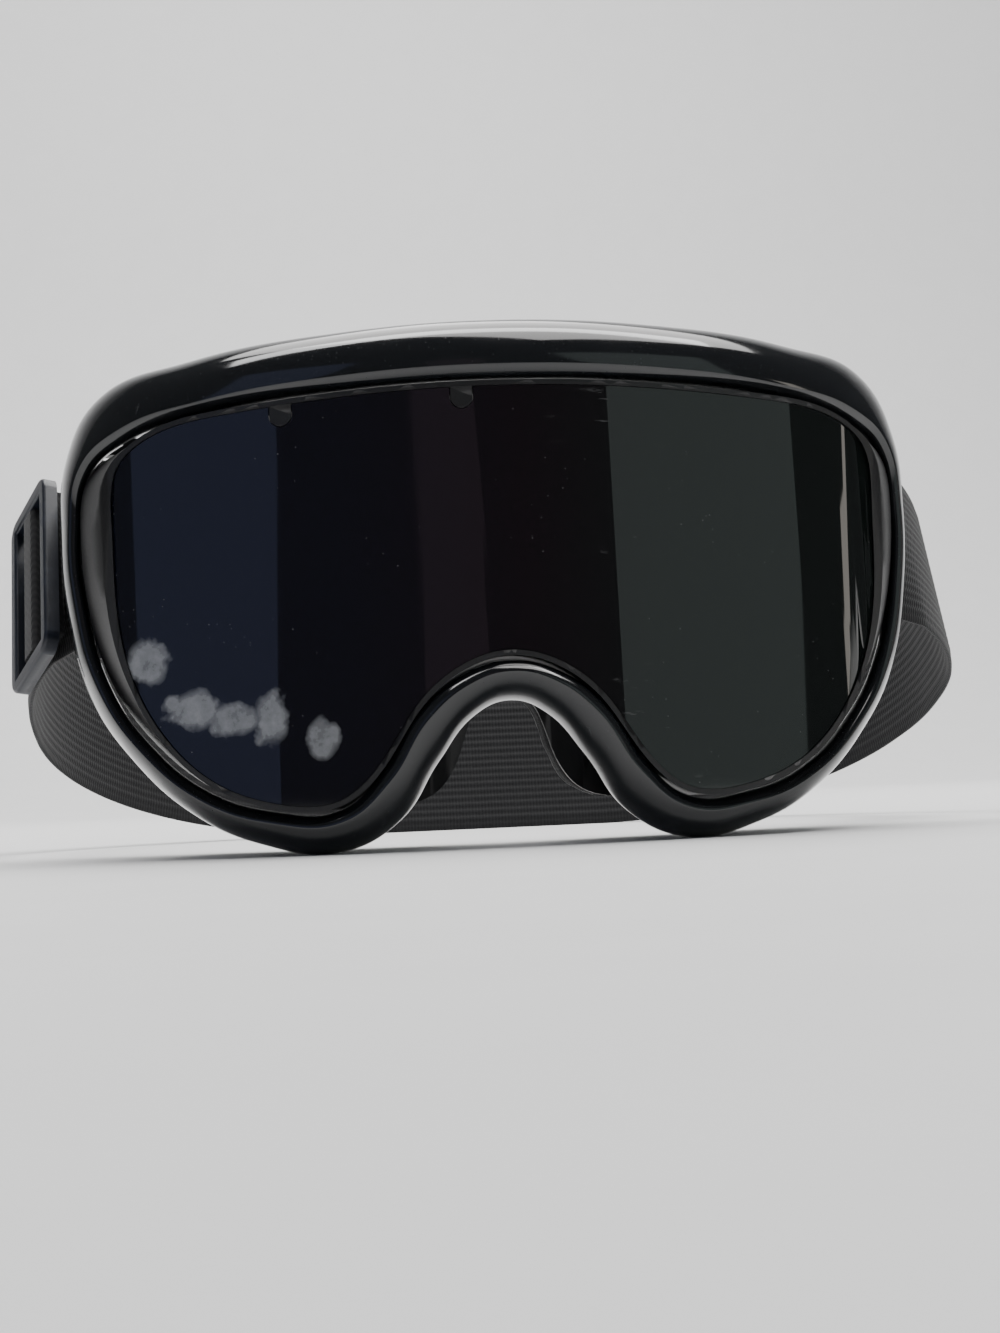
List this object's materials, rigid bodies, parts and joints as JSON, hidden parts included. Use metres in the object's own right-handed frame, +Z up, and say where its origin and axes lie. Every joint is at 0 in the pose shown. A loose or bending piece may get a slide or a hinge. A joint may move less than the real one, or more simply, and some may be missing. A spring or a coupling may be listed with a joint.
{
  "type": "sports goggles",
  "caption": "Wrap-round sports goggles with one smoked cylindrical lens, foam-lined soft frame and an adjustable elastic head strap.",
  "frame": {"origin": "middle of the footprint, on the surface that the goggles stand on", "axes": "+Z up, the lens faces -Y, +X towards the right of someone looking at the lens"},
  "size_m": [0.2201, 0.1957, 0.1035],
  "materials": {
    "rim_gloss": "gloss",
    "soft_frame": "satin",
    "smoke_lens": "gloss",
    "foam": "matte",
    "fleece": "matte",
    "webbing": "matte",
    "slider_plastic": "satin"
  },
  "bodies": {
    "goggle_frame": {"front_rim": "rim_gloss", "inner_frame": "soft_frame", "lens": "smoke_lens", "top_vent_foam": "foam", "bottom_vent_foam_left": "foam", "bottom_vent_foam_right": "foam", "face_foam": "foam", "face_lining": "fleece", "strap_loop_left": "webbing", "strap_loop_right": "webbing"},
    "strap": {"strap_band": "webbing"},
    "slider": {"slider": "slider_plastic", "slider_loop": "webbing"}
  },
  "joints": [
    {"name": "strap_tilt", "type": "hinge", "parent": "goggle_frame", "child": "strap", "pos_m": [0, -0.04087, 0.066], "axis": [1, 0, 0], "range_deg": [0, 40], "deforming": ["strap_loop_left", "strap_loop_right"]},
    {"name": "slider_adjust", "type": "hinge", "parent": "strap", "child": "slider", "pos_m": [-0.01874, 0.01331, 0.04615], "axis": [0, -0.344, -0.939], "range_deg": [0, 17]}
  ]
}
